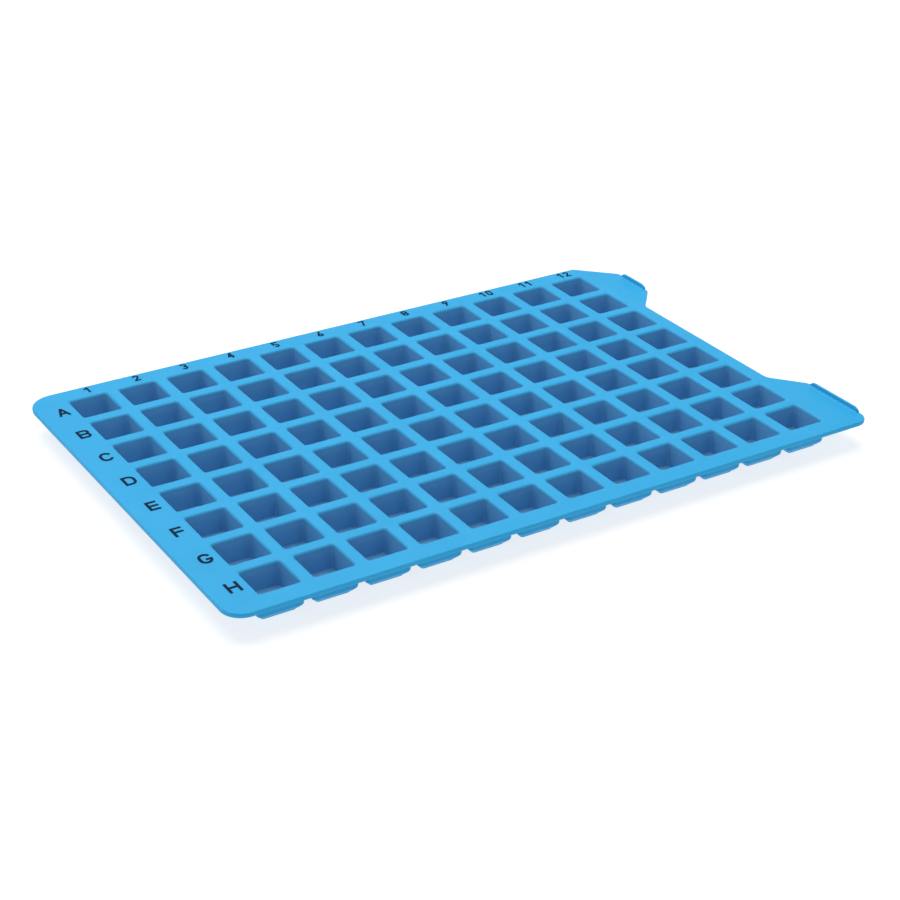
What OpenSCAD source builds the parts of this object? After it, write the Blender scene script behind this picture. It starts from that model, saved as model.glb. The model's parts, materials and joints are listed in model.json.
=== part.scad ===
// Sealing mat for a plate of 96 square wells: a moulded silicone sheet with a hollow square plug
// over each well, a facing film under each plug, printed marks and two pull tabs.
// The sheet is divided along its bending lines, between the columns and at the roots of the tabs.
// +X runs towards the tabs, +Y towards row A, and the facings rest on Z = 0.

/* [Grid] */
// Distance between neighbouring wells, along the rows and along the columns
pitch = 9; // [8.9:0.05:9.3]
// Width of each square recess at the sheet's top face, without the mouth's chamfer
opening_w = 6.7; // [6.4:0.05:6.9]
// Depth of each recess below the top face
recess_depth = 4.2; // [3.4:0.1:4.3]
// Draft of the recess walls, in degrees
recess_draft = 2; // [0.5:0.5:3]
// Radius of the upright corners inside a recess
recess_corner_r = 0.45; // [0.3:0.05:0.8]
// Chamfer around the mouth of a recess
mouth_chamfer = 0.4; // [0.2:0.05:0.5]

/* [Sheet] */
// Thickness of the sheet
sheet_t = 0.8; // [0.7:0.05:1.1]
// From the centre of the grid to the left edge, which carries the letters
sheet_left = 59.3; // [57.5:0.1:62]
// From the centre of the grid to the right edge, between the tabs
sheet_right = 55.55; // [54.5:0.05:57]
// Depth of the sheet from the front edge to the back edge
sheet_depth = 77.4; // [76.5:0.1:80]
// Radius of the left edge's front corner
front_corner_r = 3.5; // [1:0.5:4]
// Radius of the left edge's back corner
back_corner_r = 4.5; // [1:0.5:5]
// Gap along each bending line between two columns
bend_gap = 0.24; // [0.22:0.01:0.3]

/* [Plugs] */
// Width of each plug where it leaves the sheet
plug_w = 7.86; // [7.6:0.02:8.1]
// Height from the resting face to the top face of the sheet
total_h = 4.9; // [4.8:0.1:6]
// Draft of the plug's outer walls, in degrees
plug_draft = 1.5; // [0.5:0.5:2]
// Radius of the plug's upright corners
plug_corner_r = 0.8; // [0.5:0.1:1.2]
// Lead-in chamfer around the bottom of a plug
plug_chamfer = 0.9; // [0.5:0.1:1]

/* [Facings] */
// Thickness of the film under each plug
facing_t = 0.15; // [0.1:0.01:0.2]
// Margin between the film's edge and the edge of the plug's flat bottom
facing_margin = 0.1; // [0:0.05:0.4]

/* [Tabs] */
// How far a tab reaches past the sheet's right edge
tab_reach = 4.8; // [4:0.05:6]
// Distance from the centre line to the inner root of a tab
tab_root_y = 17.5; // [15:0.1:20]
// Distance from the centre line to the inner end of a tab's outer edge
tab_tip_y = 23; // [21:0.1:23.4]
// Radius of the front tab's outer corner
tab_corner_r = 2.5; // [1.5:0.5:4]
// Clearance between the sheet's edge and the rounded root of a tab
tab_gap = 0.06; // [0.04:0.01:0.1]
// How far the clipped back corner is cut along the back edge, from the tab's outer edge
clip_x = 7.05; // [4:0.05:8]
// How far the clipped back corner is cut along the tab's outer edge, from the back edge
clip_y = 6.3; // [4:0.1:6.4]

/* [Grip beads] */
// Thickness of the raised bead along a tab's outer edge, above its foot
bead_w = 0.5; // [0.4:0.05:0.8]
// Height of the bead above the tab
bead_h = 0.8; // [0.7:0.05:1.2]
// Radius of the hollow foot on the bead's inner side
bead_foot_r = 0.45; // [0.2:0.05:0.5]
// Distance from the centre line to the inner end of both beads
bead_start_y = 23.8; // [23.5:0.1:26]
// Distance from the centre line to the outer end of the front bead
front_bead_end_y = 35.8; // [32:0.1:37]
// Distance from the centre line to the outer end of the back bead
back_bead_end_y = 31; // [28:0.1:32.2]

/* [Marks] */
// Height of the row letters
letter_h = 2.7; // [2:0.1:3]
// Width of the row letters
letter_w = 2.1; // [1.6:0.1:2.4]
// Stroke of the row letters
letter_stroke = 0.46; // [0.25:0.01:0.5]
// From the centre of the first column to the middle of the letters
letter_offset_x = 5.8; // [5:0.1:7]
// Height of the column numbers
number_h = 2; // [1.5:0.05:2]
// Width of one digit of a number
number_w = 1.15; // [0.9:0.05:1.3]
// Stroke of the numbers
number_stroke = 0.34; // [0.2:0.01:0.38]
// From the centre of a column to the middle of its number, towards the tabs
number_offset_x = 1; // [0:0.1:1.5]
// From the centre line to the foot of the numbers
number_foot_y = 36.15; // [35.7:0.05:36.2]
// Thickness of the printed ink
ink_t = 0.05; // [0.03:0.01:0.1]

/* [Hidden] */
$fn = 48;
columns = 12;
rows = 8;
row_names = ["a", "b", "c", "d", "e", "f", "g", "h"];
cut = 1;

half_depth = sheet_depth / 2;
tab_x = sheet_right + tab_reach;
grid_x = (sheet_left - tab_x) / 2;
underside_z = total_h - sheet_t;
mid_z = total_h - sheet_t / 2;
tab_axis_x = grid_x + sheet_right + tab_gap + sheet_t / 2;

SILICONE = [0.243, 0.682, 0.906];
SILICONE_SHADE = [0.18, 0.52, 0.75];
FACING = [0.24, 0.5, 0.7];
INK = [0.06, 0.06, 0.08];

// Column 1 is at the left and row 0, marked A, is at the back.
function column_x(i) = grid_x + (i - (columns + 1) / 2) * pitch;
function row_y(j) = ((rows - 1) / 2 - j) * pitch;
function left_edge(i) = i == 1 ? grid_x - sheet_left : column_x(i) - (pitch - bend_gap) / 2;
function right_edge(i) = i == columns ? grid_x + sheet_right : column_x(i) + (pitch - bend_gap) / 2;

// ---- plan shapes ----

module rounded_square(w, r) {
    square([w - 2 * r, w], center = true);
    square([w, w - 2 * r], center = true);
    for (x = [-1, 1], y = [-1, 1])
        translate([x, y] * (w / 2 - r)) circle(r);
}

// The clipped corner takes the back corner off the sheet and off the back tab in one straight line.
module clipped_corner() {
    translate([grid_x + tab_x, half_depth])
        polygon([[cut, cut], [cut, -clip_y - cut * clip_y / clip_x], [-clip_x - cut * clip_x / clip_y, cut]]);
}

// Half of the strip of sheet along the left edge, with its rounded corner; side is 1 for the back.
module sheet_corner(side, r, width) {
    left = grid_x - sheet_left;
    straight = half_depth - r;
    translate([left, side == 1 ? 0 : -straight]) square([width + cut, straight]);
    translate([left + r, side == 1 ? 0 : -half_depth]) square([width + cut - r, half_depth]);
    translate([left + r, side * straight]) circle(r);
}

module sheet_plan() {
    left = grid_x - sheet_left;
    length = sheet_left + sheet_right;
    widest_r = max(front_corner_r, back_corner_r);
    difference() {
        union() {
            translate([left + widest_r, -half_depth]) square([length - widest_r, sheet_depth]);
            sheet_corner(-1, front_corner_r, widest_r);
            sheet_corner(1, back_corner_r, widest_r);
        }
        clipped_corner();
    }
}

// A tab's plan, from its hinge line out to its outer edge; side is 1 for the back and -1 for the front.
module tab_plan(side) {
    outer = grid_x + tab_x;
    slope = (tab_tip_y - tab_root_y) / tab_reach;
    hinge_y = tab_root_y + (tab_axis_x - grid_x - sheet_right) * slope;
    difference() {
        polygon([
            [tab_axis_x, side * hinge_y],
            [outer, side * tab_tip_y],
            [outer, side * half_depth],
            [tab_axis_x, side * half_depth],
        ]);
        if (side == 1)
            clipped_corner();
        else
            translate([outer - tab_corner_r, tab_corner_r - half_depth])
                difference() {
                    translate([0, -tab_corner_r - cut]) square(tab_corner_r + cut);
                    circle(tab_corner_r);
                }
    }
}

// ---- solids that repeat ----

// A square block that is cut to one side profile along both X and Y, about the Z axis.
module profiled_block(w, r, z0, z1) {
    intersection() {
        translate([0, 0, z0]) linear_extrude(z1 - z0) rounded_square(w, r);
        rotate([90, 0, 0]) linear_extrude(2 * w, center = true) children();
        rotate([90, 0, 90]) linear_extrude(2 * w, center = true) children();
    }
}

// The hollow of one recess, from its floor to just above the top face.
module recess() {
    floor_z = total_h - recess_depth;
    half = opening_w / 2;
    floor_half = half - recess_depth * tan(recess_draft);
    profiled_block(opening_w, recess_corner_r, floor_z, total_h + cut)
        polygon([
            [-floor_half, floor_z],
            [floor_half, floor_z],
            [half, total_h],
            [half, total_h + cut],
            [-half, total_h + cut],
            [-half, total_h],
        ]);
    mouth_half = half + mouth_chamfer;
    profiled_block(2 * (mouth_half + cut), recess_corner_r, total_h - mouth_chamfer - cut, total_h + cut)
        polygon([
            [0, total_h - mouth_chamfer - half],
            [mouth_half + cut, total_h + cut],
            [-mouth_half - cut, total_h + cut],
        ]);
}

// The outside of one plug, from the flat under the facing's top to the sheet's underside.
module plug_body() {
    half = plug_w / 2;
    chamfer_half = half - (underside_z - facing_t - plug_chamfer) * tan(plug_draft);
    profiled_block(plug_w, plug_corner_r, facing_t, underside_z)
        polygon([
            [plug_chamfer - chamfer_half, facing_t],
            [chamfer_half - plug_chamfer, facing_t],
            [chamfer_half, facing_t + plug_chamfer],
            [half, underside_z],
            [-half, underside_z],
            [-chamfer_half, facing_t + plug_chamfer],
        ]);
}

module along_column(i) {
    for (j = [0:rows - 1])
        translate([column_x(i), row_y(j), 0]) children();
}

// ---- sheet, plugs and facings ----

module sheet_column(i) {
    color(SILICONE)
        difference() {
            translate([0, 0, underside_z])
                linear_extrude(sheet_t)
                    intersection() {
                        sheet_plan();
                        translate([left_edge(i), -half_depth - cut])
                            square([right_edge(i) - left_edge(i), sheet_depth + 2 * cut]);
                    }
            along_column(i) recess();
        }
}

module plugs_column(i) {
    color(SILICONE_SHADE)
        along_column(i)
            difference() {
                plug_body();
                recess();
            }
}

module facings_column(i) {
    flat = plug_w - 2 * (plug_chamfer + (underside_z - facing_t - plug_chamfer) * tan(plug_draft));
    color(FACING)
        along_column(i)
            linear_extrude(facing_t)
                rounded_square(flat - 2 * facing_margin, recess_corner_r);
}

// ---- tabs ----

// The tab's root is rounded about its bending line, so that it clears the sheet as it turns.
module pull_tab(side) {
    slope = (tab_tip_y - tab_root_y) / tab_reach;
    hinge_y = tab_root_y + (tab_axis_x - grid_x - sheet_right) * slope;
    clip_slope = clip_y / clip_x;
    clipped_end = half_depth - clip_y + (grid_x + tab_x - tab_axis_x - sheet_t / 2) * clip_slope;
    end_y = side == 1 ? clipped_end : half_depth;
    color(SILICONE) {
        translate([0, 0, underside_z]) linear_extrude(sheet_t) tab_plan(side);
        translate([tab_axis_x, side * hinge_y, mid_z])
            rotate([-90 * side, 0, 0]) cylinder(r = sheet_t / 2, h = end_y - hinge_y);
    }
}

// A narrow bead with a rounded crest and a hollow foot, kept inside the tab's plan.
module grip_bead(side, end_y) {
    length = end_y - bead_start_y;
    crest_r = bead_w / 2;
    color(SILICONE)
        intersection() {
            translate([grid_x + tab_x - crest_r, side * (bead_start_y + length / 2), total_h])
                rotate([90, 0, 0])
                    linear_extrude(length, center = true) {
                        translate([-crest_r, 0]) square([bead_w, bead_h - crest_r]);
                        translate([0, bead_h - crest_r]) circle(crest_r);
                        translate([-crest_r - bead_foot_r, 0])
                            difference() {
                                square(bead_foot_r);
                                translate([0, bead_foot_r]) circle(bead_foot_r);
                            }
                    }
            translate([0, 0, total_h]) linear_extrude(bead_h + cut) tab_plan(side);
        }
}

// ---- printed marks ----

// A straight stroke of width t between two points.
module stroke(from, to, t) {
    run = to - from;
    translate(from) rotate(atan2(run.y, run.x)) translate([0, -t / 2]) square([norm(run), t]);
}

// A stroke of width t round the centre line radius r, from one angle to another, under 360 degrees apart.
module bend(centre, r, from, to, t) {
    steps = ceil((to - from) / 45);
    reach = 2 * (r + t);
    translate(centre)
        intersection() {
            difference() {
                circle(r + t / 2);
                circle(r - t / 2);
            }
            polygon(concat(
                [[0, 0]],
                [for (k = [0:steps])
                    let (angle = from + (to - from) * k / steps)
                    reach * [cos(angle), sin(angle)]]
            ));
        }
}

module ring(centre, r, t) {
    translate(centre)
        difference() {
            circle(r + t / 2);
            circle(r - t / 2);
        }
}

// Letters stand on Y = 0 and start at X = 0; w and h are their outer width and height.
module letter_glyph(name, w, h, t) {
    x0 = t / 2;
    x1 = w - t / 2;
    y0 = t / 2;
    y1 = h - t / 2;
    mid = h / 2;
    bowl_r = (y1 - mid) / 2;
    round_r = (x1 - x0) / 2;
    if (name == "a") {
        stroke([x0 - t * 0.1, -t * 0.3], [w / 2, h], t);
        stroke([x1 + t * 0.1, -t * 0.3], [w / 2, h], t);
        stroke([w * 0.22, h * 0.32], [w * 0.78, h * 0.32], t);
    }
    if (name == "b" || name == "d" || name == "e" || name == "f" || name == "h")
        stroke([x0, 0], [x0, h], t);
    if (name == "b") {
        for (y = [y0, mid, y1])
            stroke([x0, y], [x1 - bowl_r, y], t);
        for (side = [-1, 1])
            bend([x1 - bowl_r, mid + side * bowl_r], bowl_r, -90, 90, t);
    }
    if (name == "c" || name == "g") {
        bend([w / 2, y1 - round_r], round_r, 20, 180, t);
        stroke([x0, y0 + round_r], [x0, y1 - round_r], t);
        bend([w / 2, y0 + round_r], round_r, 180, name == "c" ? 340 : 360, t);
    }
    if (name == "d") {
        for (y = [y0, y1])
            stroke([x0, y], [w / 2, y], t);
        bend([w / 2, y0 + round_r], round_r, -90, 0, t);
        bend([w / 2, y1 - round_r], round_r, 0, 90, t);
        stroke([x1, y0 + round_r], [x1, y1 - round_r], t);
    }
    if (name == "e")
        for (y = [y0, mid, y1])
            stroke([x0, y], [w - t * 0.6, y], t);
    if (name == "f")
        for (y = [mid, y1])
            stroke([x0, y], [w - t * 0.6, y], t);
    if (name == "g") {
        stroke([x1, y0 + round_r], [x1, mid], t);
        stroke([w / 2, mid - y0], [w, mid - y0], t);
    }
    if (name == "h") {
        stroke([x1, 0], [x1, h], t);
        stroke([x0, mid], [x1, mid], t);
    }
}

// Digits stand on Y = 0 and start at X = 0; w and h are their outer width and height.
module digit_glyph(digit, w, h, t) {
    x0 = t / 2;
    x1 = w - t / 2;
    y0 = t / 2;
    y1 = h - t / 2;
    mid = h / 2;
    r = (w - t) / 2;
    low_r = (mid + t / 2 - t) / 2 + t / 8;
    if (digit == "0") {
        for (x = [x0, x1])
            stroke([x, x0 + r], [x, h - x0 - r], t);
        bend([w / 2, y0 + r], r, 180, 360, t);
        bend([w / 2, y1 - r], r, 0, 180, t);
    }
    if (digit == "1") {
        stroke([w * 0.6, 0], [w * 0.6, h], t);
        stroke([w * 0.1, h * 0.68], [w * 0.6, h - t * 0.5], t);
    }
    if (digit == "2") {
        bend([w / 2, y1 - r], r, -35, 175, t);
        stroke([w / 2 + r * cos(35), y1 - r - r * sin(35)], [x0, y0], t);
        stroke([0, y0], [w, y0], t);
    }
    if (digit == "3") {
        bend([w / 2, y1 - low_r], low_r, -90, 150, t);
        bend([w / 2, y0 + low_r], low_r, 210, 450, t);
    }
    if (digit == "4") {
        stroke([w * 0.72, 0], [w * 0.72, h], t);
        stroke([0, h * 0.32], [w, h * 0.32], t);
        stroke([t * 0.4, h * 0.3], [w * 0.72, h + t * 0.1], t);
    }
    if (digit == "5") {
        stroke([x0, y1], [w, y1], t);
        stroke([x0, mid], [x0, y1 + t / 2], t);
        stroke([0, y0 + 2 * r], [w / 2, y0 + 2 * r], t);
        bend([w / 2, y0 + r], r, -140, 90, t);
    }
    if (digit == "6") {
        ring([w / 2, y0 + r], r, t);
        stroke([x0 + t * 0.1, y0 + r], [w * 0.8, h + t * 0.3], t);
    }
    if (digit == "7") {
        stroke([0, y1], [w, y1], t);
        stroke([w * 0.26, -t * 0.3], [x1, y1], t);
    }
    if (digit == "8") {
        ring([w / 2, y1 - low_r], low_r, t);
        ring([w / 2, y0 + low_r], low_r, t);
    }
    if (digit == "9") {
        ring([w / 2, y1 - r], r, t);
        stroke([x1 - t * 0.1, y1 - r], [w * 0.2, -t * 0.3], t);
    }
}

// Trims the slanted strokes of a glyph level with the line it stands on and with its top.
module trimmed(h) {
    intersection() {
        children();
        translate([-h, 0]) square([3 * h, h]);
    }
}

module letter(j) {
    color(INK)
        translate([column_x(1) - letter_offset_x - letter_w / 2, row_y(j) - letter_h / 2, total_h])
            linear_extrude(ink_t)
                trimmed(letter_h)
                    letter_glyph(row_names[j], letter_w, letter_h, letter_stroke);
}

module number(i) {
    digits = str(i);
    step = number_w + number_stroke;
    width = len(digits) * step - number_stroke;
    color(INK)
        translate([column_x(i) + number_offset_x - width / 2, number_foot_y, total_h])
            linear_extrude(ink_t)
                for (k = [0:len(digits) - 1])
                    translate([k * step, 0])
                        trimmed(number_h)
                            digit_glyph(digits[k], number_w, number_h, number_stroke);
}

// ---- nodes ----

for (i = [1:columns]) {
    sheet_column(i);
    plugs_column(i);
    facings_column(i);
    number(i);
}
for (j = [0:rows - 1]) {
    letter(j);
}
pull_tab(-1);  // front_pull_tab
pull_tab(1);  // back_pull_tab
grip_bead(-1, front_bead_end_y);  // front_grip_bead
grip_bead(1, back_bead_end_y);  // back_grip_bead
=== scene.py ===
"""Looks of the silicone sealing mat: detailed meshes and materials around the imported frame."""
import json
import math

import bmesh
import bpy
from mathutils import Matrix, Vector


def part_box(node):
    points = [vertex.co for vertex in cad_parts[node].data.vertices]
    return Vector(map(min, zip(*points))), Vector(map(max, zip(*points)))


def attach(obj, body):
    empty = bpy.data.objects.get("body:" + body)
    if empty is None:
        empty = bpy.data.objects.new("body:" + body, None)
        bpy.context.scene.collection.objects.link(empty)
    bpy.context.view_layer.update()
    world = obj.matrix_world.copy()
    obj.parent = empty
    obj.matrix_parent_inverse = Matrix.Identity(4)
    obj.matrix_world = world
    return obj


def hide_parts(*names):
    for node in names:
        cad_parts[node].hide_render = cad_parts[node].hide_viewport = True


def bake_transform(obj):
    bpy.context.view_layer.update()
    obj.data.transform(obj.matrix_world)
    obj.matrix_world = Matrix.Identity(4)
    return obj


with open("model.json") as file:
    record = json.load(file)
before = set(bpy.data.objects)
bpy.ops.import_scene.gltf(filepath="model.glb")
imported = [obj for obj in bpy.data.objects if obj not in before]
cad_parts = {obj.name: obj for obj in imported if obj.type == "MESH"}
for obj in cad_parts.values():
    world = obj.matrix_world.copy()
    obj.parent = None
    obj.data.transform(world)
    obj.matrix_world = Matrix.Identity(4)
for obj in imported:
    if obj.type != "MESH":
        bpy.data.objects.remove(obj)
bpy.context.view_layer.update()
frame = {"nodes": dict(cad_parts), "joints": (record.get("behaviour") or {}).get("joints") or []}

MM = 0.001
COLUMNS = 12
ROWS = 8

# ---- places and sizes that the frame gives ----

first_lo, first_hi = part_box("plugs_column_1")
last_lo, last_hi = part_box(f"plugs_column_{COLUMNS}")
sheet_lo, sheet_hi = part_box("sheet_column_1")
right_strip_lo, right_strip_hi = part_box(f"sheet_column_{COLUMNS}")
tab_lo, tab_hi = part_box("front_pull_tab")
joint_at = {j["name"]: Vector(j["pos_m"]) for j in frame["joints"]}

PLUG_W = first_hi.x - first_lo.x
PITCH = (last_lo.x - first_lo.x) / (COLUMNS - 1)
COLUMN_X = [(first_lo.x + first_hi.x) / 2 + i * PITCH for i in range(COLUMNS)]
ROW_Y = [((ROWS - 1) / 2 - j) * PITCH for j in range(ROWS)]
TOP = sheet_hi.z
UNDER = sheet_lo.z
PLUG_BOTTOM = first_lo.z
LEFT = sheet_lo.x
RIGHT = right_strip_hi.x
HALF_DEPTH = sheet_hi.y
TAB_X = tab_hi.x
TAB_AXIS_X = joint_at["front_tab_bend"].x
GRID_CENTRE = Vector((sum(COLUMN_X) / COLUMNS, 0, TOP))

# ---- sizes of the moulding's finer shapes ----

OPENING_HALF = 3.35 * MM
RECESS_DEPTH = 4.2 * MM
RECESS_DRAFT = math.tan(math.radians(2))
RECESS_CORNER = 0.45 * MM
MOUTH_FILLET = 0.45 * MM
FLOOR_FILLET = 0.15 * MM
CORNER_SPREAD = 0.35            # how much of a fillet's reach is added to the radius of its corners
PLUG_DRAFT = math.tan(math.radians(1.5))
PLUG_CORNER = 0.8 * MM
PLUG_CHAMFER = 0.9 * MM
PLUG_EDGE_R = 0.25 * MM         # how much the plug's chamfer lines are rounded
SMALLEST_CORNER = 0.25 * MM     # no ring's corner is rounded less than this
RECESS_RINGS = (0.15, 0.3, 0.6) # where rings cross a recess's wall, as shares of its height
BOTTOM_RING = 0.4               # where a ring crosses a plug's flat bottom, as a share of its half width
ROOT_FILLET = 0.15 * MM
EDGE_R = 0.2 * MM
FRONT_CORNER = 3.5 * MM
BACK_CORNER = 4.5 * MM
SEAM_HALF = 4.1 * MM            # a column's own piece reaches this far each side of its centre
SEAM_CORNER = 1.2 * MM          # spaces the points of a cell's sharp-cornered outline
WEB_CUTS = 8

TAB_ROOT_Y = 17.5 * MM
TAB_TIP_Y = 23 * MM
TAB_SEAM_Y = 16.8 * MM
TAB_ROOT_FILLET = 2.2 * MM
TAB_TIP_FILLET = 1.5 * MM
TAB_CORNER = 2.5 * MM
CLIP_X = 6.6 * MM
CLIP_Y = 6.3 * MM
CLIP_FILLET = 0.6 * MM
TAB_BEND_HALF = 0.8 * MM
TAB_CUTS = 12

BEAD_CREST_R = 0.25 * MM
BEAD_FOOT_R = 0.45 * MM
BEAD_END = 1.3 * MM             # a bead rises to its full height over this length
BEAD_SUNK = 0.2 * MM            # a bead's flat base lies this far inside its tab
BEAD_END_STEP = 15              # degrees of the quarter turn between two stations of a bead's end
BEAD_CUTS = 12

ARC_STEPS = 6                   # steps round a corner of a ring, even so that one point is the corner
SIDE_STEPS = 4                  # steps along a straight side of a ring
FILLET_STEPS = 4
PLAN_STEP = 11                  # degrees between two points of a rounded corner of a plan outline
SMOOTH_ANGLE = math.radians(35)
PAINTED_SHADE = "painted_shade"                 # a mesh attribute for painted shade: 1 deep inside a recess and 0 elsewhere
PAINTED_SHADE_DEPTH = 0.8 * MM          # the attribute reaches 1 this far below the top face
WELD = 0.001 * MM
SAME = 1e-9                     # metres within which two coordinates count as equal


# ---- mesh helpers ----

def arc(centre, radius, start, end, steps=FILLET_STEPS):
    """Points on an arc, in degrees from start to end, both ends included."""
    turn = [math.radians(start + (end - start) * k / steps) for k in range(steps + 1)]
    return [(centre[0] + radius * math.cos(a), centre[1] + radius * math.sin(a)) for a in turn]


def rounded_line(points, radius, steps=3):
    """A polyline whose inner corners are rounded to about the radius."""
    line = [points[0]]
    for before, here, after in zip(points, points[1:], points[2:]):
        a, p, b = Vector(before), Vector(here), Vector(after)
        to_a, to_b = (a - p), (b - p)
        reach = min(radius, to_a.length / 2, to_b.length / 2)
        start, end = p + to_a.normalized() * reach, p + to_b.normalized() * reach
        for k in range(steps + 1):
            t = k / steps
            line.append(tuple(start * (1 - t) ** 2 + p * 2 * t * (1 - t) + end * t ** 2))
    return line + [points[-1]]


def ring(half_x, half_y, radius, z, sharp=False):
    """Points round a rounded rectangle about the origin. A sharp ring pushes its arcs out to the corners."""
    corners = []
    for quarter, (sx, sy) in enumerate(((1, 1), (-1, 1), (-1, -1), (1, -1))):
        points = []
        for k in range(ARC_STEPS + 1):
            angle = math.radians(90 * (quarter + k / ARC_STEPS))
            dx, dy = math.cos(angle), math.sin(angle)
            if sharp:
                reach = max(abs(dx), abs(dy))
                dx, dy = dx / reach, dy / reach
            points.append(Vector((sx * (half_x - radius) + radius * dx,
                                  sy * (half_y - radius) + radius * dy, z)))
        corners.append(points)
    loop = []
    for quarter, points in enumerate(corners):
        following = corners[(quarter + 1) % 4][0]
        loop += points
        loop += [points[-1].lerp(following, k / SIDE_STEPS) for k in range(1, SIDE_STEPS)]
    return loop


class Builder:
    """Collects loops and faces, then welds them into one closed mesh."""

    def __init__(self):
        self.bm = bmesh.new()
        # a weight per vertex for the painted shade in the recesses
        self.painted_shade = self.bm.verts.layers.float.new(PAINTED_SHADE)

    def loop(self, points, shift=(0, 0), painted_shade=0.0):
        verts = [self.bm.verts.new((p[0] + shift[0], p[1] + shift[1], p[2])) for p in points]
        for vert in verts:
            vert[self.painted_shade] = painted_shade
        return verts

    def bridge(self, a, b, closed=True):
        count = len(a)
        for k in range(count if closed else count - 1):
            n = (k + 1) % count
            self.bm.faces.new((a[k], a[n], b[n], b[k]))

    def stack(self, loops):
        for a, b in zip(loops, loops[1:]):
            self.bridge(a, b)

    def face(self, verts):
        self.bm.faces.new(verts)

    def slice_x(self, positions):
        """Cuts every face along planes of constant X, so that the mesh can bend there."""
        for x in positions:
            geometry = self.bm.verts[:] + self.bm.edges[:] + self.bm.faces[:]
            bmesh.ops.bisect_plane(self.bm, geom=geometry, plane_co=(x, 0, 0), plane_no=(1, 0, 0))

    def finish(self, name, material):
        bmesh.ops.remove_doubles(self.bm, verts=self.bm.verts[:], dist=WELD)
        bmesh.ops.recalc_face_normals(self.bm, faces=self.bm.faces[:])
        mesh = bpy.data.meshes.new(name)
        self.bm.to_mesh(mesh)
        self.bm.free()
        mesh.shade_smooth()
        mesh.set_sharp_from_angle(angle=SMOOTH_ANGLE)
        mesh.materials.append(material)
        piece = bpy.data.objects.new(name, mesh)
        bpy.context.scene.collection.objects.link(piece)
        flat_faces = piece.modifiers.new("flat_faces_stay_flat", "WEIGHTED_NORMAL")
        flat_faces.keep_sharp = True
        return piece


# ---- materials ----

def new_material(name, roughness, specular=0.5):
    material = bpy.data.materials.new(name)
    material.use_nodes = True
    shader = material.node_tree.nodes["Principled BSDF"]
    shader.inputs["Roughness"].default_value = roughness
    shader.inputs["Specular IOR Level"].default_value = specular
    return material, material.node_tree, shader


def noise(tree, scale, detail=3.0, stretch=(1, 1, 1)):
    """A noise texture in the object's own metres."""
    coordinates = tree.nodes.new("ShaderNodeTexCoord")
    mapping = tree.nodes.new("ShaderNodeMapping")
    mapping.inputs["Scale"].default_value = stretch
    texture = tree.nodes.new("ShaderNodeTexNoise")
    texture.inputs["Scale"].default_value = scale
    texture.inputs["Detail"].default_value = detail
    tree.links.new(coordinates.outputs["Object"], mapping.inputs["Vector"])
    tree.links.new(mapping.outputs["Vector"], texture.inputs["Vector"])
    return texture.outputs["Fac"]


def colour_ramp(tree, fac, dark, light):
    ramp = tree.nodes.new("ShaderNodeValToRGB")
    ramp.color_ramp.elements[0].position = 0.3
    ramp.color_ramp.elements[1].position = 0.7
    ramp.color_ramp.elements[0].color = (*dark, 1)
    ramp.color_ramp.elements[1].color = (*light, 1)
    tree.links.new(fac, ramp.inputs["Fac"])
    return ramp.outputs["Color"]


def vary_colour(tree, shader, fac, dark, light):
    tree.links.new(colour_ramp(tree, fac, dark, light), shader.inputs["Base Color"])


def vary_roughness(tree, shader, fac, low, high):
    spread = tree.nodes.new("ShaderNodeMapRange")
    spread.inputs["From Min"].default_value = 0.3
    spread.inputs["From Max"].default_value = 0.7
    spread.inputs["To Min"].default_value = low
    spread.inputs["To Max"].default_value = high
    tree.links.new(fac, spread.inputs["Value"])
    tree.links.new(spread.outputs["Result"], shader.inputs["Roughness"])


def add_bump(tree, shader, fac, depth, strength):
    bump = tree.nodes.new("ShaderNodeBump")
    bump.inputs["Distance"].default_value = depth
    bump.inputs["Strength"].default_value = strength
    tree.links.new(fac, bump.inputs["Height"])
    tree.links.new(bump.outputs["Normal"], shader.inputs["Normal"])


MIX_COLOUR_A, MIX_COLOUR_B, MIX_COLOUR_RESULT = 6, 7, 2     # a Mix node's sockets when it mixes colours


def silicone_material():
    """Matte silicone, with painted shade in the recesses: they get a duller, greyer blue than the outside.
    """
    material, tree, shader = new_material("sky_blue_silicone", 0.5, 0.2)
    outside_colour = colour_ramp(tree, noise(tree, 120), (0.014, 0.320, 0.615), (0.019, 0.338, 0.645))
    # painted shade: the duller, greyer blue of the recesses' walls and floors
    shaded_recess_colour = colour_ramp(tree, noise(tree, 900), (0.134, 0.372, 0.622), (0.146, 0.388, 0.648))
    where = tree.nodes.new("ShaderNodeAttribute")
    where.attribute_name = PAINTED_SHADE
    mix = tree.nodes.new("ShaderNodeMix")
    mix.data_type = "RGBA"
    tree.links.new(where.outputs["Fac"], mix.inputs["Factor"])
    tree.links.new(outside_colour, mix.inputs[MIX_COLOUR_A])
    tree.links.new(shaded_recess_colour, mix.inputs[MIX_COLOUR_B])
    tree.links.new(mix.outputs[MIX_COLOUR_RESULT], shader.inputs["Base Color"])
    vary_roughness(tree, shader, noise(tree, 700), 0.40, 0.52)
    add_bump(tree, shader, noise(tree, 2600, 4), 0.012 * MM, 0.6)
    return material


def film_material():
    """Skived fluoropolymer film: smoother than the silicone, with faint lines along Y."""
    material, tree, shader = new_material("facing_film", 0.32, 0.25)
    vary_colour(tree, shader, noise(tree, 300), (0.060, 0.330, 0.620), (0.075, 0.365, 0.655))
    vary_roughness(tree, shader, noise(tree, 900, 2, (1, 0.08, 1)), 0.26, 0.40)
    add_bump(tree, shader, noise(tree, 3000, 2, (1, 0.05, 1)), 0.006 * MM, 0.5)
    return material


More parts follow.
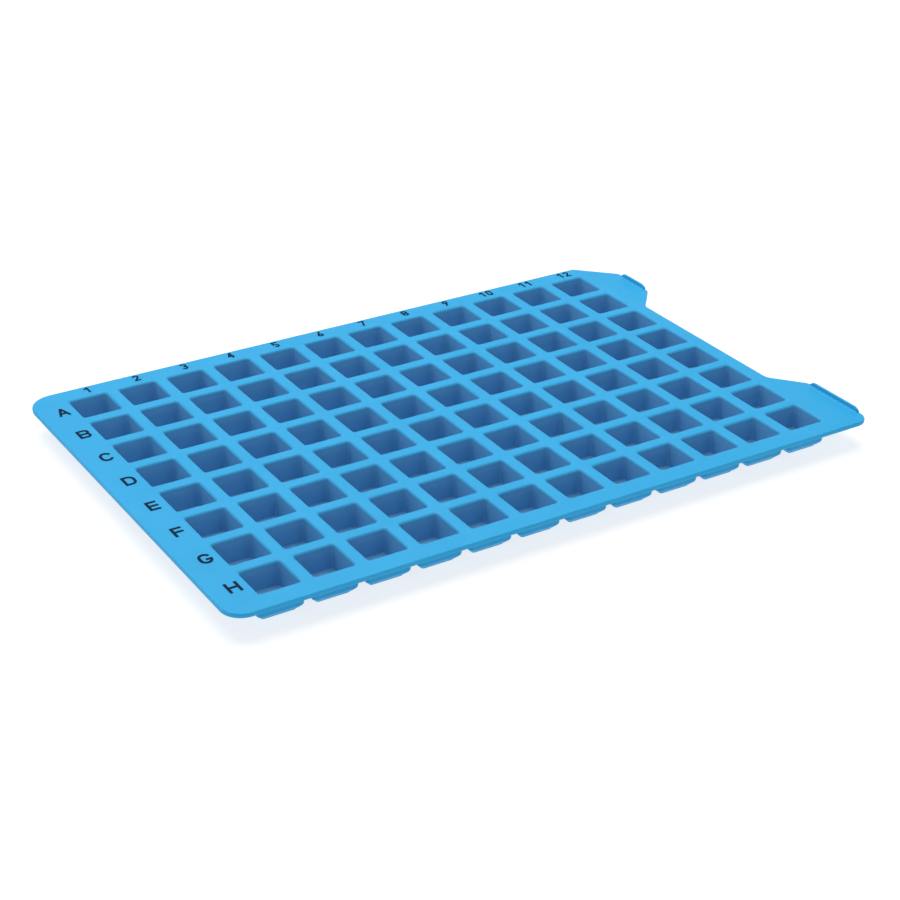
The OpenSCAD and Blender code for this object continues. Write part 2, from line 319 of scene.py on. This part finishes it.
def ink_material():
    material, tree, shader = new_material("printed_ink", 0.8, 0.06)
    vary_colour(tree, shader, noise(tree, 2400), (0.001, 0.011, 0.040), (0.003, 0.015, 0.050))
    vary_roughness(tree, shader, noise(tree, 1800), 0.5, 0.7)
    add_bump(tree, shader, noise(tree, 6000), 0.004 * MM, 0.5)
    return material


def floor_material():
    """A white table, faintly lit from within, which keeps the shadow under the mat light."""
    material, tree, shader = new_material("pale_floor", 0.85, 0.2)
    vary_colour(tree, shader, noise(tree, 3), (0.29, 0.29, 0.29), (0.31, 0.31, 0.31))
    shader.inputs["Emission Color"].default_value = (1, 1, 1, 1)
    shader.inputs["Emission Strength"].default_value = 0.76
    return material


SILICONE = silicone_material()
FILM = film_material()
INK = ink_material()


# ---- the moulding, one piece a column ----

def top_profile():
    """(half width, height) from the flat top, over the mouth's fillet and down to the recess's floor."""
    floor = TOP - RECESS_DEPTH
    mouth = arc((OPENING_HALF + MOUTH_FILLET, TOP - MOUTH_FILLET), MOUTH_FILLET, 90, 180)
    low_half = OPENING_HALF - (RECESS_DEPTH - MOUTH_FILLET) * RECESS_DRAFT
    foot = arc((low_half - FLOOR_FILLET, floor + FLOOR_FILLET), FLOOR_FILLET, 0, -90)
    upper, lower = Vector(mouth[-1]), Vector(foot[0])
    wall = [tuple(upper.lerp(lower, share)) for share in RECESS_RINGS]
    return mouth + wall + foot


def plug_profile():
    """(half width, height) from the sheet's underside, round the root and down to the plug's flat bottom."""
    half = PLUG_W / 2
    root = arc((half + ROOT_FILLET, UNDER - ROOT_FILLET), ROOT_FILLET, 90, 180, 3)
    chamfer_z = PLUG_BOTTOM + PLUG_CHAMFER
    chamfer_half = half - (UNDER - chamfer_z) * PLUG_DRAFT
    side = [root[-1], (chamfer_half, chamfer_z), (chamfer_half - PLUG_CHAMFER, PLUG_BOTTOM),
            (BOTTOM_RING * chamfer_half, PLUG_BOTTOM)]
    return root[:-1] + rounded_line(side, PLUG_EDGE_R)


def add_cell(builder, x, y):
    """The silicone round one well: the top with its recess, and the underside with its plug."""
    outlines = []
    for z, profile, corner in ((TOP, top_profile(), RECESS_CORNER), (UNDER, plug_profile(), PLUG_CORNER)):
        outer = builder.loop(ring(SEAM_HALF, PITCH / 2, SEAM_CORNER, z, sharp=True), (x, y))
        base = OPENING_HALF if z == TOP else PLUG_W / 2
        rings = []
        for half, level in profile:
            radius = max(corner + CORNER_SPREAD * (half - base), SMALLEST_CORNER)
            # painted shade: a recess's walls take the duller blue more fully the deeper they lie
            depth = min(1.0, (TOP - level) / PAINTED_SHADE_DEPTH) if z == TOP else 0.0
            rings.append(builder.loop(ring(half, half, radius, level), (x, y), depth))
        builder.stack([outer] + rings)
        builder.face(rings[-1])
        outlines.append(outer)
    top, under = outlines
    for k in range(len(top)):
        n = (k + 1) % len(top)
        runs_along_y = abs(top[k].co.x - top[n].co.x) < SAME
        if runs_along_y and abs(abs(top[k].co.x - x) - SEAM_HALF) < SAME:
            builder.face((top[k], top[n], under[n], under[k]))


def edge_profile(inner_y):
    """(y, z) round the sheet's long edge, from inner_y on the top face to inner_y on the underside."""
    y = HALF_DEPTH - EDGE_R
    return ([(inner_y, TOP)] + arc((y, TOP - EDGE_R), EDGE_R, 90, 0)
            + arc((y, UNDER + EDGE_R), EDGE_R, 0, -90) + [(inner_y, UNDER)])


def add_long_margins(builder, x):
    """The strips of sheet in front of row H and behind row A, with their rounded edges."""
    outer = ring(SEAM_HALF, PITCH / 2, SEAM_CORNER, TOP, sharp=True)
    along = sorted({round(p.x, 9) for p in outer if abs(p.y - PITCH / 2) < SAME})
    for side in (-1, 1):
        profile = edge_profile(ROW_Y[0] + PITCH / 2)
        rows = [builder.loop([(x + dx, side * y, z) for y, z in profile]) for dx in along]
        for a, b in zip(rows, rows[1:]):
            builder.bridge(a, b, closed=False)
        builder.face(rows[0])
        builder.face(rows[-1])


def column_piece(i):
    builder = Builder()
    for y in ROW_Y:
        add_cell(builder, COLUMN_X[i], y)
    add_long_margins(builder, COLUMN_X[i])
    piece = builder.finish(f"silicone_column_{i + 1}", SILICONE)
    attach(piece, f"column_{i + 1}")
    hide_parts(f"sheet_column_{i + 1}", f"plugs_column_{i + 1}")


def web_piece(i):
    """The thin bar of sheet between two columns, which is where the mat bends."""
    start, end = COLUMN_X[i] + SEAM_HALF, COLUMN_X[i + 1] - SEAM_HALF
    back = edge_profile(0)[1:-1]
    section = back + [(-y, z) for y, z in reversed(back)]
    builder = Builder()
    loops = []
    for k in range(WEB_CUTS + 1):
        x = start + (end - start) * k / WEB_CUTS
        loops.append(builder.loop([(x, y, z) for y, z in section]))
    builder.stack(loops)
    builder.face(loops[0])
    builder.face(loops[-1])
    piece = builder.finish(f"bending_bar_{i + 1}_{i + 2}", SILICONE)
    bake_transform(piece)


# ---- flat pieces with a drawn outline: the letter margin, the right margin and the tabs ----

def outline(corners):
    """Points and inset directions round a plan shape.

    A corner is (x, y, fillet radius, whether the edge after it is a seam).
    """
    count = len(corners)
    points = []
    for k, (x, y, radius, seam_after) in enumerate(corners):
        here = Vector((x, y))
        before = Vector(corners[k - 1][:2])
        after = Vector(corners[(k + 1) % count][:2])
        seam_before = corners[k - 1][3]
        run_in, run_out = (here - before).normalized(), (after - here).normalized()
        inward_in, inward_out = Vector((-run_in.y, run_in.x)), Vector((-run_out.y, run_out.x))
        step_in, step_out = (0 if seam_before else 1), (0 if seam_after else 1)
        if radius:
            bend = run_in.angle_signed(run_out)
            reach = radius * math.tan(abs(bend) / 2)
            steps = max(2, round(abs(math.degrees(bend)) / PLAN_STEP))
            turn = 1 if run_in.cross(run_out) > 0 else -1
            centre = here - run_in * reach + inward_in * radius * turn
            for s in range(steps + 1):
                direction = inward_in.slerp(inward_out, s / steps)
                points.append((centre - direction * radius * turn, direction))
        else:
            system = Matrix((inward_in, inward_out))
            points.append((here, system.inverted() @ Vector((step_in, step_out))))
    return points


def plate(name, corners, slices=()):
    """A piece of the sheet with the given outline, its open edges rounded and its seams left plain."""
    points = outline(corners)
    builder = Builder()
    loops = []
    for level, start in ((UNDER + EDGE_R, -90), (TOP - EDGE_R, 0)):
        for inset, z in arc((0, level), EDGE_R, start, start + 90):
            loops.append(builder.loop([(*(p + inward * (EDGE_R - inset)), z) for p, inward in points]))
    builder.stack(loops)
    builder.face(loops[0])
    builder.face(loops[-1])
    builder.slice_x(slices)
    return builder.finish(name, SILICONE)


def letter_margin():
    seam = COLUMN_X[0] - SEAM_HALF
    piece = plate("letter_margin", [
        (LEFT, HALF_DEPTH, BACK_CORNER, False),
        (LEFT, -HALF_DEPTH, FRONT_CORNER, False),
        (seam, -HALF_DEPTH, 0, True),
        (seam, HALF_DEPTH, 0, False),
    ])
    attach(piece, "column_1")


def right_margin():
    seam = COLUMN_X[-1] + SEAM_HALF
    piece = plate("right_margin", [
        (seam, -TAB_SEAM_Y, 0, True),
        (RIGHT, -TAB_SEAM_Y, 0, False),
        (RIGHT, TAB_SEAM_Y, 0, True),
        (seam, TAB_SEAM_Y, 0, True),
    ])
    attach(piece, f"column_{COLUMNS}")


def tab_piece(side, name):
    """A pull tab with the corner of sheet beside it; it bends along the line of its root."""
    seam = COLUMN_X[-1] + SEAM_HALF
    corners = [
        (seam, TAB_SEAM_Y, 0, True),
        (RIGHT, TAB_SEAM_Y, 0, False),
        (RIGHT, TAB_ROOT_Y, TAB_ROOT_FILLET, False),
        (TAB_X, TAB_TIP_Y, TAB_TIP_FILLET, False),
    ]
    if side > 0:
        corners += [
            (TAB_X, HALF_DEPTH - CLIP_Y, CLIP_FILLET, False),
            (TAB_X - CLIP_X, HALF_DEPTH, 0, False),
        ]
    else:
        corners += [(TAB_X, HALF_DEPTH, TAB_CORNER, False)]
    corners += [(seam, HALF_DEPTH, 0, True)]
    if side < 0:  # mirrored, and turned round so that it stays counter-clockwise
        seams = [c[3] for c in corners]
        corners = [(x, -y, r, seams[k - 1]) for k, (x, y, r, _) in enumerate(corners)][::-1]
    start, end = TAB_AXIS_X - TAB_BEND_HALF, TAB_AXIS_X + TAB_BEND_HALF
    slices = [start + (end - start) * k / TAB_CUTS for k in range(TAB_CUTS + 1)]
    piece = plate(f"{name}_tab_moulding", corners, slices)
    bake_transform(piece)
    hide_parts(f"{name}_pull_tab")


def bead_piece(side, name):
    """The raised grip bead along a tab's outer edge: a narrow crest with a hollow foot on its inner side."""
    lo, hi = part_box(f"{name}_grip_bead")
    inner_y, outer_y = min(abs(lo.y), abs(hi.y)), max(abs(lo.y), abs(hi.y))
    height = hi.z - TOP
    crest = arc((-BEAD_CREST_R, height - BEAD_CREST_R), BEAD_CREST_R, 0, 180, 8)
    foot = arc((-2 * BEAD_CREST_R - BEAD_FOOT_R, BEAD_FOOT_R), BEAD_FOOT_R, 0, -90, 6)
    section = [(0, -BEAD_SUNK)] + crest + foot + [(foot[-1][0], -BEAD_SUNK)]
    turns = [math.radians(a) for a in range(0, 90, BEAD_END_STEP)]
    rising = [(inner_y + BEAD_END * (1 - math.cos(a)), math.sin(a)) for a in turns]
    full_length = outer_y - inner_y - 2 * BEAD_END
    full = [(inner_y + BEAD_END + full_length * k / BEAD_CUTS, 1) for k in range(BEAD_CUTS + 1)]
    falling = [(inner_y + outer_y - y, rise) for y, rise in reversed(rising)]
    builder = Builder()
    loops = []
    for y, rise in rising + full + falling:
        loops.append(builder.loop([(TAB_X + dx, side * y, TOP + (dz * rise if dz > 0 else dz))
                                   for dx, dz in section]))
    builder.stack(loops)
    builder.face(loops[0])
    builder.face(loops[-1])
    piece = builder.finish(f"{name}_bead_moulding", SILICONE)
    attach(piece, f"{name}_tab")
    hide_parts(f"{name}_grip_bead")


# ---- the film facings and the printed marks keep their CAD shapes ----

def dress(node, material, soften=0.0):
    piece = frame["nodes"][node]
    piece.data.materials.clear()
    piece.data.materials.append(material)
    if soften:
        rounding = piece.modifiers.new("softened_edges", "BEVEL")
        rounding.width = soften
        rounding.segments = 2
        rounding.limit_method = "ANGLE"
        rounding.harden_normals = True


for i in range(COLUMNS):
    column_piece(i)
    dress(f"facings_column_{i + 1}", FILM, 0.04 * MM)
    dress(f"number_{i + 1}", INK)
for i in range(COLUMNS - 1):
    web_piece(i)
for letter in "abcdefgh":
    dress(f"letter_{letter}", INK)
letter_margin()
right_margin()
for side, name in ((-1, "front"), (1, "back")):
    tab_piece(side, name)
    bead_piece(side, name)


# ---- floor, light and camera ----

FLOOR_SIZE = 6.0
FLOOR_Z = -0.02 * MM            # just under the facings, so that the two faces don't coincide
BACKDROP_R = 2.9                # the round wall stands just inside the floor's edges
BACKDROP_HEIGHT = 0.8
BACKDROP_SIDES = 48
SOFTBOX_PLACE = (0.02, 0.25, 0.75)
SOFTBOX_SIZE = 0.9
SOFTBOX_POWER = 7.5
WORLD_STRENGTH = 0.4
CAMERA_AZIMUTH = -32.7          # degrees, as are the elevation and the roll
CAMERA_ELEVATION = 28.37
CAMERA_ROLL = 1.11
CAMERA_DISTANCE = 0.32774
CAMERA_RIGHT = 0.000917         # how far the camera stands off the line to the grid's centre
CAMERA_UP = -0.00662
CAMERA_LENS = 78.0


def stage_piece(name, points, faces, material):
    mesh = bpy.data.meshes.new(name)
    mesh.from_pydata(points, [], faces)
    mesh.materials.append(material)
    piece = bpy.data.objects.new(name, mesh)
    bpy.context.scene.collection.objects.link(piece)


def make_stage():
    """A floor with a low round wall far behind, which keeps the background pale in views from the side."""
    material = floor_material()
    half = FLOOR_SIZE / 2
    corners = [(x * half, y * half, FLOOR_Z) for x, y in ((-1, -1), (1, -1), (1, 1), (-1, 1))]
    stage_piece("floor", corners, [(0, 1, 2, 3)], material)
    wall = []
    for k in range(BACKDROP_SIDES):
        angle = 2 * math.pi * k / BACKDROP_SIDES
        x, y = BACKDROP_R * math.cos(angle), BACKDROP_R * math.sin(angle)
        wall += [(x, y, FLOOR_Z), (x, y, BACKDROP_HEIGHT)]
    count = len(wall)
    faces = [(k, k + 1, (k + 3) % count, (k + 2) % count) for k in range(0, count, 2)]
    stage_piece("backdrop", wall, faces, material)


def area_light(name, place, size, power):
    light = bpy.data.lights.new(name, "AREA")
    light.shape = "DISK"
    light.size = size
    light.energy = power
    lamp = bpy.data.objects.new(name, light)
    lamp.location = place
    lamp.rotation_mode = "QUATERNION"
    lamp.rotation_quaternion = (Vector(place) - GRID_CENTRE).to_track_quat("Z", "Y")
    bpy.context.scene.collection.objects.link(lamp)


def make_world(colour, strength):
    world = bpy.data.worlds.new("studio")
    bpy.context.scene.world = world
    world.use_nodes = True
    background = world.node_tree.nodes["Background"]
    background.inputs["Color"].default_value = (*colour, 1)
    background.inputs["Strength"].default_value = strength


def make_camera():
    azimuth, elevation, roll = (math.radians(a) for a in (CAMERA_AZIMUTH, CAMERA_ELEVATION, CAMERA_ROLL))
    back = Vector((math.sin(azimuth) * math.cos(elevation), -math.cos(azimuth) * math.cos(elevation),
                   math.sin(elevation)))
    level = Vector((math.cos(azimuth), math.sin(azimuth), 0))
    upright = back.cross(level)
    right = level * math.cos(roll) + upright * math.sin(roll)
    up = upright * math.cos(roll) - level * math.sin(roll)
    turn = Matrix((right, up, back)).transposed()
    data = bpy.data.cameras.new("camera")
    data.lens = CAMERA_LENS
    data.clip_start = 0.01
    data.clip_end = 20
    camera = bpy.data.objects.new("camera", data)
    camera.matrix_world = Matrix.Translation(
        GRID_CENTRE + turn @ Vector((CAMERA_RIGHT, CAMERA_UP, CAMERA_DISTANCE))) @ turn.to_4x4()
    bpy.context.scene.collection.objects.link(camera)
    bpy.context.scene.camera = camera


bpy.context.scene.view_settings.view_transform = "Standard"
make_stage()
make_world((1, 1, 1), WORLD_STRENGTH)
area_light("overhead_softbox", SOFTBOX_PLACE, SOFTBOX_SIZE, SOFTBOX_POWER)
make_camera()
